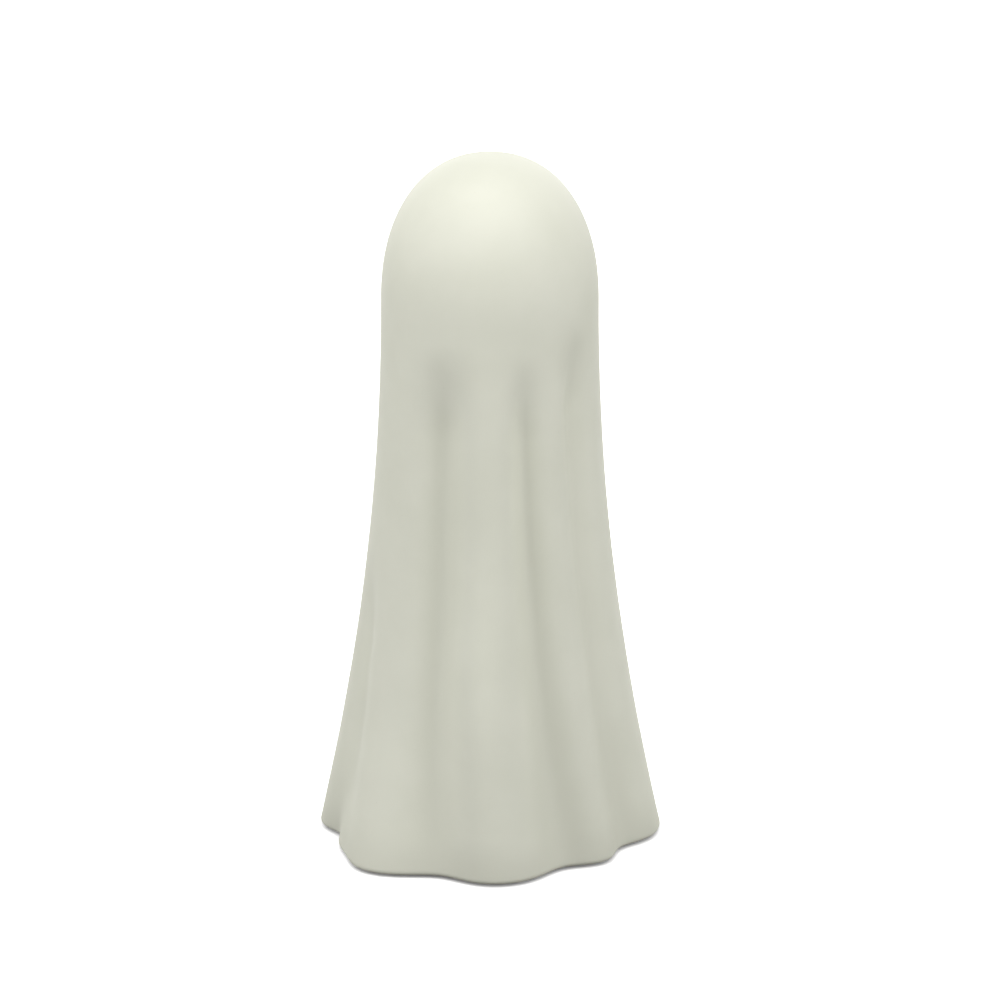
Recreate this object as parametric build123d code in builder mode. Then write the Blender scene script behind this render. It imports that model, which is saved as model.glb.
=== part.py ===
"""Ceramic ghost figure: a hollow slip-cast drape, closed by a floor slab that stands on felt feet.

Millimetres, +Z up. The origin is on the table, under the middle of the figure. The face looks along -Y.
"""
import os
from math import cos, exp, radians, sin
from typing import NamedTuple

from build123d import *

# Drape
HEIGHT = 200.0  # table to crown
CROWN_HEIGHT = 43.0  # domed head, above the shoulder line
SHOULDER_RADIUS = 30.9
HEM_RADIUS = 50.2
CROWN_FULLNESS = 2.25  # power of the dome's superellipse, where 2 is an ellipse
FLARE_POWER = 1.95  # how late the drape flares out below the shoulder
WALL = 4.5
HEM_ROUND = 1.2
ROUND_LIMIT = 0.9  # most of the rim's width that the hem's round may take
CROWN_FLAT_RADIUS = 2.5  # small level spot on top of the dome, outside and inside
WAIST = 0.5  # how far down a fold its waist depth is reached, as a share of its run

# Floor slab, luted into a rebate under the hem
SLAB_THICKNESS = 4.0
LEDGE_WIDTH = 1.5  # step inside the wall that the slab is luted against
LUTE_GAP = 0.3
VENT_DIAMETER = 10.0

# Eyes: glazed ovals set in pressed sockets
EYE_WIDTH = 8.5
EYE_HEIGHT = 12.5
EYE_SPACING = 22.0
EYE_DROP = 2.0  # middle of the eyes, below the shoulder line
SOCKET_DEPTH = 1.2
EYE_RECESS = 0.2  # the glaze lies this far below the wall around it
EYE_CLEARANCE = 0.1

# Felt feet under the slab
FOOT_DIAMETER = 10.0
FOOT_THICKNESS = 1.2
FOOT_SEAT_DEPTH = 0.4
FOOT_CLEARANCE = 0.2
FOOT_INSET = 21.0  # middle of each foot, in from the hem
FOOT_COUNT = 4

# Counts for the lofted surfaces
OUTLINE_POINTS = 72
CAVITY_POINTS = 48
DRAPE_STEPS = 18
CAVITY_STEPS = 10
CROWN_STEPS = 7
BAND_POINTS = 9

# Derived sizes and levels
SHOULDER = HEIGHT - CROWN_HEIGHT
HEM = FOOT_THICKNESS - FOOT_SEAT_DEPTH
LEDGE = HEM + SLAB_THICKNESS
EYE_LEVEL = SHOULDER - EYE_DROP
RIM_WIDTH = WALL - LEDGE_WIDTH  # hem left standing outside the rebate
FOOT_RING_RADIUS = HEM_RADIUS - FOOT_INSET


class Fold(NamedTuple):
    """A fold of the drape. A negative depth is a swelling. Angles are in degrees round +Z from +X."""

    top: float  # height where it starts
    fade: float  # drop over which it reaches its upper depth
    top_azimuth: float
    hem_azimuth: float
    upper_depth: float
    waist_depth: float
    hem_depth: float
    upper_spread: float  # half width of the valley, as an angle
    hem_spread: float


FOLDS = [
    # Back of the figure, from the left side of the photograph to the right
    Fold(60.0, 40.0, 18.0, 14.0, 0.0, 1.0, 5.0, 7.0, 6.0),
    Fold(90.0, 30.0, 18.0, 30.0, 2.6, 2.6, 1.4, 6.0, 7.0),
    Fold(50.0, 35.0, 44.0, 46.0, -0.5, -1.6, -3.4, 10.0, 8.5),
    Fold(SHOULDER - 5.0, 28.0, 64.0, 72.0, 4.4, 4.8, 4.4, 9.0, 8.5),
    Fold(105.0, 65.0, 84.0, 88.0, -1.2, -3.2, -0.4, 9.5, 10.5),
    Fold(SHOULDER - 7.0, 26.0, 108.5, 120.0, 3.5, 4.8, 7.4, 6.0, 10.5),
    Fold(SHOULDER, 26.0, 141.5, 150.5, 3.8, 3.8, 6.4, 7.0, 8.5),
    # Face side
    Fold(SHOULDER - 3.0, 30.0, 202.0, 198.0, 2.8, 2.6, 6.0, 7.0, 7.5),
    Fold(SHOULDER - 11.0, 30.0, 228.0, 224.0, 2.8, 2.8, 7.0, 6.0, 11.0),
    Fold(84.0, 34.0, 252.0, 256.0, 2.0, 2.4, 6.5, 8.0, 8.5),
    Fold(110.0, 34.0, 287.0, 290.0, 2.4, 2.6, 6.5, 6.5, 10.0),
    Fold(SHOULDER - 7.0, 30.0, 316.0, 320.0, 3.0, 2.6, 6.0, 6.5, 9.0),
    Fold(100.0, 34.0, 340.0, 343.0, 1.8, 2.0, 4.5, 6.0, 6.0),
]


def ease(share: float) -> float:
    """Smooth step from 0 to 1."""
    share = min(max(share, 0.0), 1.0)
    return share * share * (3 - 2 * share)


def smooth_radius(height: float, inset: float = 0.0) -> float:
    """Radius of the drape without its folds, moved inwards by inset."""
    shoulder = SHOULDER_RADIUS - inset
    if height > SHOULDER:
        rise = min((height - SHOULDER) / (CROWN_HEIGHT - inset), 1.0)
        return shoulder * (1 - rise**CROWN_FULLNESS) ** (1 / CROWN_FULLNESS)
    drop = (SHOULDER - height) / (SHOULDER - HEM)
    return shoulder + (HEM_RADIUS - SHOULDER_RADIUS) * drop**FLARE_POWER


def fold_depth(fold: Fold, azimuth: float, height: float) -> float:
    """How far one fold draws the drape in at an azimuth and a height."""
    if height >= fold.top:
        return 0.0
    run = (fold.top - height) / (fold.top - HEM)
    centre = fold.top_azimuth + (fold.hem_azimuth - fold.top_azimuth) * run**2
    spread = fold.upper_spread + (fold.hem_spread - fold.upper_spread) * run**2
    to_waist = ease(run / WAIST)
    to_hem = max((run - WAIST) / (1 - WAIST), 0.0) ** 2
    depth = fold.upper_depth + (fold.waist_depth - fold.upper_depth) * to_waist
    depth += (fold.hem_depth - fold.waist_depth) * to_hem
    offset = (azimuth - centre + 180) % 360 - 180
    return depth * ease((fold.top - height) / fold.fade) * exp(-0.5 * (offset / spread) ** 2)


def drape_point(azimuth: float, height: float, inset: float) -> tuple[float, float]:
    """Point of the drape's outline at one height."""
    radius = smooth_radius(height, inset) - sum(fold_depth(fold, azimuth, height) for fold in FOLDS)
    return radius * cos(radians(azimuth)), radius * sin(radians(azimuth))


def drape_outline(height: float, inset: float, count: int) -> list[tuple[float, float]]:
    """Points of the drape's outline at one height, evenly spaced round it."""
    return [drape_point(360 * step / count, height, inset) for step in range(count)]


def crown_level(radius: float, inset: float) -> float:
    """Height at which the dome has the given radius."""
    share = (radius / (SHOULDER_RADIUS - inset)) ** CROWN_FULLNESS
    return SHOULDER + (CROWN_HEIGHT - inset) * (1 - share) ** (1 / CROWN_FULLNESS)


def loft_levels(bottom: float, inset: float, drape_steps: int) -> list[float]:
    """Heights of the loft's sections: even down the drape, closer together towards the crown."""
    top = crown_level(CROWN_FLAT_RADIUS, inset)
    drape = [bottom + (SHOULDER - bottom) * step / drape_steps for step in range(drape_steps)]
    rises = [sin(radians(90 * step / CROWN_STEPS)) for step in range(CROWN_STEPS + 1)]
    return drape + [SHOULDER + (top - SHOULDER) * rise for rise in rises]


def face_band(inner_inset: float, outer_inset: float) -> Part:
    """Ring round the head between two depths below its surface, tall enough for the eyes."""
    reach = EYE_HEIGHT
    levels = [EYE_LEVEL - reach + 2 * reach * step / (BAND_POINTS - 1) for step in range(BAND_POINTS)]
    with BuildPart() as band:
        with BuildSketch(Plane.XZ):
            with BuildLine():
                outer = Spline(*[(smooth_radius(level, outer_inset), level) for level in levels])
                inner = Spline(*[(smooth_radius(level, inner_inset), level) for level in levels])
                Line(outer @ 0, inner @ 0)
                Line(outer @ 1, inner @ 1)
            make_face()
        revolve(axis=Axis.Z)
    return band.part


os.makedirs("parts", exist_ok=True)

eye_sides = {"eye_left": EYE_SPACING / 2, "eye_right": -EYE_SPACING / 2}
foot_places = PolarLocations(FOOT_RING_RADIUS, FOOT_COUNT, start_angle=180 / FOOT_COUNT)

# The hollow drape: outer form, casting hollow, rebate for the floor and two pressed sockets
socket_band = face_band(SOCKET_DEPTH, -SOCKET_DEPTH)
with BuildPart() as sockets:
    with BuildSketch(Plane.XZ):
        with Locations(*[(place, EYE_LEVEL) for place in eye_sides.values()]):
            Ellipse(EYE_WIDTH / 2 + EYE_CLEARANCE, EYE_HEIGHT / 2 + EYE_CLEARANCE)
    extrude(amount=2 * SHOULDER_RADIUS)
    add(socket_band, mode=Mode.INTERSECT)

with BuildPart() as ghost_shell:
    for level in loft_levels(HEM, 0.0, DRAPE_STEPS):
        with BuildSketch(Plane.XY.offset(level)):
            with BuildLine():
                Spline(*drape_outline(level, 0.0, OUTLINE_POINTS), periodic=True)
            make_face()
    loft()
    hem_edge = ghost_shell.edges().group_by(Axis.Z)[0]
    fillet(hem_edge, min(HEM_ROUND, ROUND_LIMIT * RIM_WIDTH))
    for level in loft_levels(LEDGE, WALL, CAVITY_STEPS):
        with BuildSketch(Plane.XY.offset(level)):
            with BuildLine():
                Spline(*drape_outline(level, WALL, CAVITY_POINTS), periodic=True)
            make_face()
    loft(mode=Mode.SUBTRACT)
    with BuildSketch(Plane.XY.offset(HEM)):
        with BuildLine():
            Spline(*drape_outline(LEDGE, RIM_WIDTH, OUTLINE_POINTS), periodic=True)
        make_face()
    extrude(amount=SLAB_THICKNESS, mode=Mode.SUBTRACT)
    add(sockets.part, mode=Mode.SUBTRACT)
ghost_shell.part.label = "ghost_shell"
export_step(ghost_shell.part, "parts/ghost_shell.step")

# Floor slab with its vent hole and the seats of the feet
with BuildPart() as base_slab:
    with BuildSketch(Plane.XY.offset(HEM)):
        with BuildLine():
            Spline(*drape_outline(LEDGE, RIM_WIDTH + LUTE_GAP, OUTLINE_POINTS), periodic=True)
        make_face()
        Circle(VENT_DIAMETER / 2, mode=Mode.SUBTRACT)
    extrude(amount=SLAB_THICKNESS)
    with BuildSketch(Plane.XY.offset(HEM)):
        with foot_places:
            Circle(FOOT_DIAMETER / 2 + FOOT_CLEARANCE)
    extrude(amount=FOOT_SEAT_DEPTH, mode=Mode.SUBTRACT)
base_slab.part.label = "base_slab"
export_step(base_slab.part, "parts/base_slab.step")

# Glazed eyes
eye_band = face_band(SOCKET_DEPTH, EYE_RECESS)
for name, place in eye_sides.items():
    with BuildPart() as eye:
        with BuildSketch(Plane.XZ):
            with Locations((place, EYE_LEVEL)):
                Ellipse(EYE_WIDTH / 2, EYE_HEIGHT / 2)
        extrude(amount=2 * SHOULDER_RADIUS)
        add(eye_band, mode=Mode.INTERSECT)
    eye.part.label = name
    export_step(eye.part, f"parts/{name}.step")

# Felt feet
for number, place in enumerate(foot_places.locations, start=1):
    with BuildPart() as felt_foot:
        with BuildSketch(Plane.XY):
            with Locations(place):
                Circle(FOOT_DIAMETER / 2)
        extrude(amount=FOOT_THICKNESS)
    felt_foot.part.label = f"felt_foot_{number}"
    export_step(felt_foot.part, f"parts/felt_foot_{number}.step")
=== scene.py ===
"""Looks of a ceramic ghost figure: a matte cast drape with glazed eyes, on a bare floor slab and felt feet.

Metres, +Z up, and the face looks along -Y. The origin is on the table, under the middle of the figure.
"""
import logging
from collections.abc import Iterable, Mapping, Sequence
from dataclasses import asdict, dataclass
from enum import Enum
from math import atan, cos, hypot, pi, radians, sin, sqrt
from typing import NamedTuple

import bmesh
import bpy
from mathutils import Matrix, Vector


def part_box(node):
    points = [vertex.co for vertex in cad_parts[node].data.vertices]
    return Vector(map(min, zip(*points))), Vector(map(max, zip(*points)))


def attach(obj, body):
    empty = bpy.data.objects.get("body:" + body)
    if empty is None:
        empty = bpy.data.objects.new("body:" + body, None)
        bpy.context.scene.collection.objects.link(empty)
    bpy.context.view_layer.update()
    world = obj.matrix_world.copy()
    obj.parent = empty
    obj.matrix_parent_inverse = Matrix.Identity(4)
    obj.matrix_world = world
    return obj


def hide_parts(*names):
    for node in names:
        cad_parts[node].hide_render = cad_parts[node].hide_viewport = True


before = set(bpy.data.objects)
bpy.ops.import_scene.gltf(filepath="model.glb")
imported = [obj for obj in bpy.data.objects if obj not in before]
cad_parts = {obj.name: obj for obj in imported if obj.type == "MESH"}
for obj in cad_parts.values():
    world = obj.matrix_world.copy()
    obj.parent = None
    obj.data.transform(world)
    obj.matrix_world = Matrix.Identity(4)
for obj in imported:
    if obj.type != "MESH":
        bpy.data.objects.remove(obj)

LOG = logging.getLogger("ghost_figure")
MM = 0.001
BODY = "root"
IMAGE_SIDE = 984  # pixels, both ways
CORNER_STEPS = 4  # stations round each softened corner of a turned profile
HALF_TURN = 180.0  # degrees
BARE_RIM = 0.6 * MM  # height of the drape's rim that is wiped bare
CLAY_DETAIL = {"Grain": 2.0, "Mottle": 4.0}  # octaves of noise
SPECK_CORE = 0.4  # share of a speck's radius that shows fully
WAVE_DETAIL = 1.0  # octaves of noise
FIBRE_SIDES = 3
FIBRE_STEPS = 2  # sections along a fibre
WHITE = (1.0, 1.0, 1.0)
ORIGIN = Vector().freeze()

Colour = tuple[float, float, float]
Range = tuple[float, float]


class Slot(Enum):
    """Material slots."""

    DRAPE = "bisque_drape"
    FLOOR = "bare_floor"
    EYES = "black_glaze"
    FEET = "felt"


class TreeKind(Enum):
    """Kinds of node group, each with the node that places such a group."""

    GEOMETRY = ("GeometryNodeTree", "GeometryNodeGroup")
    SHADER = ("ShaderNodeTree", "ShaderNodeGroup")


class SocketKind(Enum):
    """Kinds of socket that the node groups use."""

    VALUE = "NodeSocketFloat"
    VECTOR = "NodeSocketVector"
    GEOMETRY = "NodeSocketGeometry"
    MATERIAL = "NodeSocketMaterial"


class Wire:
    """A value on its way through a node tree. Arithmetic on it adds Math nodes."""

    def __init__(self, graph: "Graph", socket: bpy.types.NodeSocket) -> None:
        """Keep the tree and the socket that the value comes out of."""
        self.graph = graph
        self.socket = socket

    def __add__(self, other: "Feed") -> "Wire":
        """This value plus another."""
        return self.graph.math("ADD", self, other)

    def __sub__(self, other: "Feed") -> "Wire":
        """This value less another."""
        return self.graph.math("SUBTRACT", self, other)

    def __mul__(self, other: "Feed") -> "Wire":
        """This value times another."""
        return self.graph.math("MULTIPLY", self, other)

    def __truediv__(self, other: "Feed") -> "Wire":
        """This value divided by another."""
        return self.graph.math("DIVIDE", self, other)

    def __rtruediv__(self, other: float) -> "Wire":
        """A number divided by this value."""
        return self.graph.math("DIVIDE", other, self)

    def __pow__(self, other: "Feed") -> "Wire":
        """This value to a power."""
        return self.graph.math("POWER", self, other)


Feed = Wire | float | str | Sequence[float] | bpy.types.ID


class Graph:
    """A node tree while it is being drawn."""

    def __init__(self, tree: bpy.types.NodeTree) -> None:
        """Keep the tree. Only a group has nodes for what it takes and gives."""
        self.tree = tree
        self.entry: bpy.types.Node | None = None
        self.exit: bpy.types.Node | None = None

    @classmethod
    def group(
        cls, name: str, kind: TreeKind, takes: Mapping[str, SocketKind], gives: Mapping[str, SocketKind]
    ) -> "Graph":
        """Start a node group.

        Args:
            name: Name of the group.
            kind: Whether it makes geometry or shading.
            takes: Its inputs, by name.
            gives: Its outputs, by name.

        Returns:
            The group, with its input and output nodes placed.
        """
        graph = cls(bpy.data.node_groups.new(name, kind.value[0]))
        for way, sockets in (("INPUT", takes), ("OUTPUT", gives)):
            for title, socket in sockets.items():
                graph.tree.interface.new_socket(name=title, in_out=way, socket_type=socket.value)
        graph.entry = graph.tree.nodes.new("NodeGroupInput")
        graph.exit = graph.tree.nodes.new("NodeGroupOutput")
        return graph

    def taken(self, name: str) -> Wire:
        """Value of one of the group's inputs."""
        return Wire(self, self.entry.outputs[name])

    def give(self, name: str, value: Feed) -> None:
        """Send a value to one of the group's outputs."""
        self.feed(self.exit.inputs[name], value)

    def feed(self, socket: bpy.types.NodeSocket, value: Feed) -> None:
        """Link a wire to a socket, or set the socket's own value.

        Args:
            socket: The node's input.
            value: What goes into it.
        """
        if isinstance(value, Wire):
            self.tree.links.new(value.socket, socket)
        elif socket.type == "RGBA":
            socket.default_value = (*value, 1.0)
        else:
            socket.default_value = value

    def node(
        self, kind: str, feeds: Mapping[str | int, Feed] | None = None, **settings: object
    ) -> bpy.types.Node:
        """Place a node.

        Args:
            kind: Blender's name for the kind of node.
            feeds: What goes into its inputs, by name or number.
            settings: The node's own options.

        Returns:
            The node.
        """
        node = self.tree.nodes.new(kind)
        for name, value in settings.items():
            setattr(node, name, value)
        for key, value in (feeds or {}).items():
            self.feed(node.inputs[key], value)
        return node

    def wire(
        self,
        kind: str,
        feeds: Mapping[str | int, Feed] | None = None,
        output: str | int = 0,
        **settings: object,
    ) -> Wire:
        """Place a node and return the wire from one of its outputs."""
        return Wire(self, self.node(kind, feeds, **settings).outputs[output])

    def use(self, kind: TreeKind, group: bpy.types.NodeTree, feeds: Mapping[str, Feed]) -> dict[str, Wire]:
        """Place a node group.

        Args:
            kind: Whether it makes geometry or shading.
            group: The group.
            feeds: What goes into its inputs, by name.

        Returns:
            A wire from each of its outputs, by name.
        """
        outputs = self.node(kind.value[1], feeds, node_tree=group).outputs
        return {socket.name: Wire(self, socket) for socket in outputs}

    def math(self, operation: str, *values: Feed) -> Wire:
        """Arithmetic on up to three values."""
        return self.wire("ShaderNodeMath", dict(enumerate(values)), operation=operation)

    def vector(self, operation: str, *values: Feed, output: str | int = 0) -> Wire:
        """Arithmetic on vectors."""
        return self.wire("ShaderNodeVectorMath", dict(enumerate(values)), output, operation=operation)

    def scaled(self, vector: Feed, factor: Feed) -> Wire:
        """A vector times a number."""
        return self.wire("ShaderNodeVectorMath", {0: vector, "Scale": factor}, operation="SCALE")

    def ease(self, value: Feed, low: Feed = 0.0, high: Feed = 1.0) -> Wire:
        """Smooth step from 0 at low to 1 at high."""
        feeds = {"Value": value, "From Min": low, "From Max": high}
        return self.wire("ShaderNodeMapRange", feeds, interpolation_type="SMOOTHSTEP")

    def span(self, value: Feed, least: float, most: float) -> Wire:
        """A share between 0 and 1, laid between two numbers."""
        return self.wire("ShaderNodeMapRange", {"Value": value, "To Min": least, "To Max": most})

    def mix(self, share: Feed, first: Feed, second: Feed) -> Wire:
        """A colour that goes from the first to the second."""
        return self.wire("ShaderNodeMix", {0: share, 6: first, 7: second}, 2, data_type="RGBA")

    def part(self, vector: Feed, axis: str) -> Wire:
        """The X, Y or Z of a vector."""
        return self.wire("ShaderNodeSeparateXYZ", {0: vector}, axis)

    def noise(self, place: Feed, size: Feed, detail: float) -> Wire:
        """Noise from 0 to 1, with lumps of a size."""
        return self.wire("ShaderNodeTexNoise", {"Vector": place, "Scale": 1.0 / size, "Detail": detail})

    def sway(self, mark: Wire, width: float) -> Wire:
        """A mark from 0 to 1, laid evenly round 0 over a width."""
        return (mark - 0.5) * width

    def blend(self, first: Wire, second: Wire, share: float) -> Wire:
        """A share of the first value, and the second for the rest."""
        return first * share + second * (1.0 - share)

    def close(self, shape: Wire) -> bpy.types.NodeTree:
        """End a geometry group.

        Args:
            shape: What it made.

        Returns:
            The group's tree, which gives that as plain geometry in the material that it takes.
        """
        dress = {"Geometry": self.wire("GeometryNodeRealizeInstances", {"Geometry": shape})}
        dress["Material"] = self.taken("Material")
        self.give("Geometry", self.wire("GeometryNodeSetMaterial", dress))
        return self.tree


def titled(field: str) -> str:
    """Name of the socket that takes a field's value."""
    return field.replace("_", " ").title()


class Fold(NamedTuple):
    """A fold of the drape, in millimetres and degrees round +Z from +X. A negative depth is a swelling."""

    top: float  # height where it starts
    fade: float  # drop over which it reaches its upper depth
    top_azimuth: float
    hem_azimuth: float
    upper_depth: float
    waist_depth: float
    hem_depth: float
    upper_spread: float  # half width of the valley, as an angle
    hem_spread: float


FOLDS = (
    # Back of the figure, from the left side of the photograph to the right
    Fold(60.0, 40.0, 18.0, 14.0, 0.0, 1.0, 5.0, 7.0, 6.0),
    Fold(90.0, 30.0, 18.0, 30.0, 2.6, 2.6, 1.4, 6.0, 7.0),
    Fold(50.0, 35.0, 44.0, 46.0, -0.5, -1.6, -3.4, 10.0, 8.5),
    Fold(152.0, 28.0, 64.0, 72.0, 4.4, 4.8, 4.4, 9.0, 8.5),
    Fold(105.0, 65.0, 84.0, 88.0, -1.2, -3.2, -0.4, 9.5, 10.5),
    Fold(150.0, 26.0, 108.5, 120.0, 3.5, 4.8, 7.4, 6.0, 10.5),
    Fold(157.0, 26.0, 141.5, 150.5, 3.8, 3.8, 6.4, 7.0, 8.5),
    # Face side
    Fold(154.0, 30.0, 202.0, 198.0, 2.8, 2.6, 6.0, 7.0, 7.5),
    Fold(146.0, 30.0, 228.0, 224.0, 2.8, 2.8, 7.0, 6.0, 11.0),
    Fold(84.0, 34.0, 252.0, 256.0, 2.0, 2.4, 6.5, 8.0, 8.5),
    Fold(110.0, 34.0, 287.0, 290.0, 2.4, 2.6, 6.5, 6.5, 10.0),
    Fold(150.0, 30.0, 316.0, 320.0, 3.0, 2.6, 6.0, 6.5, 9.0),
    Fold(100.0, 34.0, 340.0, 343.0, 1.8, 2.0, 4.5, 6.0, 6.0),
)


class Station(NamedTuple):
    """A point of a turned profile, and what the mesh made from it carries."""

    radius: float
    height: float
    level: float  # height whose folds the point takes
    hang: float = 1.0  # share of the folds that it takes
    skin: float = 0.0  # 1 on the face that can be pressed and is uneven, 0 elsewhere

    def toward(self, other: "Station", share: float) -> "Station":
        """Station part of the way to another."""
        return Station(*(here + (there - here) * share for here, there in zip(self, other)))

    def gap(self, other: "Station") -> float:
        """Distance to another station."""
        return hypot(other.radius - self.radius, other.height - self.height)


CARRIED = ("level", "hang", "skin")


@dataclass(frozen=True)
class Recess:
    """A shallow hollow with an oval outline, pressed into a piece."""

    centre: Vector
    half_sizes: Vector  # the oval's two half sizes, and how far the press reaches along its third axis
    push: Vector  # way and depth that the face goes in
    wall: float  # width of the rounded wall, as a share of the half sizes
    margin: float  # how far round the recess the mesh is refined, in half sizes
    drift: float = 0.0  # how far the folds may draw the mesh in before it is pressed

    def near(self, point: Vector) -> bool:
        """Tell where the mesh is refined.

        Args:
            point: A point of the blank.

        Returns:
            Whether it comes to lie in the recess or close round it.
        """
        offset = point - self.centre
        outwards = Vector((self.centre.x, self.centre.y, 0.0)).normalized()
        offset -= outwards * min(max(offset.dot(outwards), 0.0), self.drift)
        return Vector(part / half for part, half in zip(offset, self.half_sizes)).length < self.margin


@dataclass(frozen=True)
class DrapeRule:
    """Form of the drape: a domed crown, a wall that flares below the shoulder line, and its folds."""

    top: float
    hem: float
    shoulder: float = 157.0 * MM
    shoulder_radius: float = 30.9 * MM
    hem_radius: float = 50.2 * MM
    crown_fullness: float = 2.25  # power of the dome's superellipse, where 2 is an ellipse
    flare_power: float = 1.95  # how late the wall flares out
    waist: float = 0.5  # how far down a fold its waist depth is reached, as a share of its run
    folds: tuple[Fold, ...] = FOLDS

    def radius(self, height: float, inset: float = 0.0) -> float:
        """Work out the drape's radius without its folds.

        Args:
            height: Height above the table.
            inset: How far in from the outside.

        Returns:
            The radius.
        """
        shoulder = self.shoulder_radius - inset
        if height > self.shoulder:
            rise = min((height - self.shoulder) / (self.top - self.shoulder - inset), 1.0)
            return shoulder * (1 - rise**self.crown_fullness) ** (1 / self.crown_fullness)
        drop = (self.shoulder - height) / (self.shoulder - self.hem)
        return shoulder + (self.hem_radius - self.shoulder_radius) * drop**self.flare_power

    def crown(self, inset: float, steps: int, skin: float) -> list[Station]:
        """Lay out the dome.

        Args:
            inset: How far in from the outside.
            steps: How many runs it is divided into.
            skin: What its stations carry as skin.

        Returns:
            Stations from the middle of the crown down to the shoulder line.
        """
        power = 2 / self.crown_fullness
        wide = self.shoulder_radius - inset
        tall = self.top - self.shoulder - inset
        stations = []
        for step in range(steps + 1):
            turn = pi / 2 * step / steps
            height = self.shoulder + tall * cos(turn) ** power
            stations.append(Station(wide * sin(turn) ** power, height, height, skin=skin))
        return stations

    def wall(self, start: float, end: float, inset: float, steps: int, skin: float) -> list[Station]:
        """Stations along the wall, evenly from one height to another."""
        heights = [start + (end - start) * step / steps for step in range(steps + 1)]
        return [Station(self.radius(height, inset), height, height, skin=skin) for height in heights]

    def hem_slope(self) -> float:
        """How far the wall runs out for each length that it drops, at the hem."""
        run = (self.hem_radius - self.shoulder_radius) * self.flare_power
        return run / (self.shoulder - self.hem)

    def fold_group(self) -> bpy.types.NodeTree:
        """Make the node group for a fold.

        Returns:
            The group, which gives how far the fold draws the drape in at an azimuth and a level.
        """
        titles = ["Azimuth", "Level", "Hem Level", "Waist", *map(titled, Fold._fields)]
        takes = dict.fromkeys(titles, SocketKind.VALUE)
        graph = Graph.group("drape_fold", TreeKind.GEOMETRY, takes, {"Depth": SocketKind.VALUE})
        drop = graph.taken("Top") - graph.taken("Level")
        run = graph.math("MAXIMUM", drop / (graph.taken("Top") - graph.taken("Hem Level")), 0.0)
        lean = run * run

        def between(first: str, second: str, share: Wire) -> Wire:
            """Value that goes from one input to another."""
            return graph.taken(first) + (graph.taken(second) - graph.taken(first)) * share

        centre = between("Top Azimuth", "Hem Azimuth", lean)
        spread = between("Upper Spread", "Hem Spread", lean)
        waist = graph.taken("Waist")
        to_hem = graph.math("MAXIMUM", (run - waist) / graph.math("SUBTRACT", 1.0, waist), 0.0) ** 2.0
        depth = between("Upper Depth", "Waist Depth", graph.ease(run / waist))
        depth = depth + (graph.taken("Hem Depth") - graph.taken("Waist Depth")) * to_hem
        offset = graph.math("WRAP", graph.taken("Azimuth") - centre, HALF_TURN, -HALF_TURN) / spread
        valley = graph.math("EXPONENT", offset * offset * -0.5)
        graph.give("Depth", depth * graph.ease(drop / graph.taken("Fade")) * valley)
        return graph.tree

    def drawn_in(self, graph: Graph, azimuth: Wire, level: Wire) -> Wire:
        """Place the folds in a tree and add up how far they draw the drape in.

        Args:
            graph: The tree.
            azimuth: Where round the figure, in degrees.
            level: Height, in metres.

        Returns:
            The depth of all folds together, in metres.
        """
        group = bpy.data.node_groups.get("drape_fold") or self.fold_group()
        total: Feed = 0.0
        for fold in self.folds:
            feeds = {titled(name): size for name, size in fold._asdict().items()}
            feeds |= {"Azimuth": azimuth, "Level": level / MM}
            feeds |= {"Hem Level": self.hem / MM, "Waist": self.waist}
            total = graph.use(TreeKind.GEOMETRY, group, feeds)["Depth"] + total
        return total * MM


def run_of(start: Station, end: Station, spacing: float) -> list[Station]:
    """Stations after start, up to and with end, no further apart than spacing."""
    steps = max(round(start.gap(end) / spacing), 1)
    return [start.toward(end, step / steps) for step in range(1, steps + 1)]


def soft_path(corners: Sequence[Station], softness: float, spacing: float) -> list[Station]:
    """Profile through corners, with the inner ones rounded off.

    Args:
        corners: The corners, the first and last of them being the path's ends.
        softness: How far from a corner its rounding starts.
        spacing: Most that two stations on a straight run are apart.

    Returns:
        The stations, ends included.
    """
    path = [corners[0]]
    for before, corner, after in zip(corners, corners[1:], corners[2:]):
        start = corner.toward(before, softness / corner.gap(before))
        end = corner.toward(after, softness / corner.gap(after))
        path += run_of(path[-1], start, spacing)
        for step in range(1, CORNER_STEPS + 1):
            share = step / CORNER_STEPS
            path.append(start.toward(corner, share).toward(corner.toward(end, share), share))
    return path + run_of(path[-1], corners[-1], spacing)


def turned_blank(
    name: str, profile: Sequence[Station], segments: int, axis: Vector = ORIGIN
) -> bpy.types.Object:
    """Turn a profile into a closed mesh.

    Args:
        name: Name of the piece.
        profile: Stations with the outside on their left. They start and end on the axis, or else close up.
        segments: How many faces go round.
        axis: Where the axis, which is upright, meets the table.

    Returns:
        The piece, whose points carry their station's level, hang and skin.
    """
    points: list[tuple[float, float, float]] = []
    carried: list[Station] = []
    rings: list[list[int]] = []
    for station in profile:
        count = segments if station.radius > 0 else 1
        rings.append(list(range(len(points), len(points) + count)))
        for step in range(count):
            turn = 2 * pi * step / segments
            across, along = station.radius * cos(turn), station.radius * sin(turn)
            points.append((axis.x + across, axis.y + along, station.height))
        carried += [station] * count
    closing = [] if profile[0].radius == 0 else [(rings[-1], rings[0])]
    faces = []
    for upper, lower in [*zip(rings, rings[1:]), *closing]:
        for step in range(segments):
            here, there = step, step + 1
            loop = (upper[here % len(upper)], lower[here % len(lower)])
            loop += (lower[there % len(lower)], upper[there % len(upper)])
            faces.append(list(dict.fromkeys(loop)))
    mesh = bpy.data.meshes.new(name)
    mesh.from_pydata(points, [], faces)
    for title in CARRIED:
        layer = mesh.attributes.new(title, "FLOAT", "POINT")
        layer.data.foreach_set("value", [getattr(station, title) for station in carried])
    return placed(name, mesh)


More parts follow.
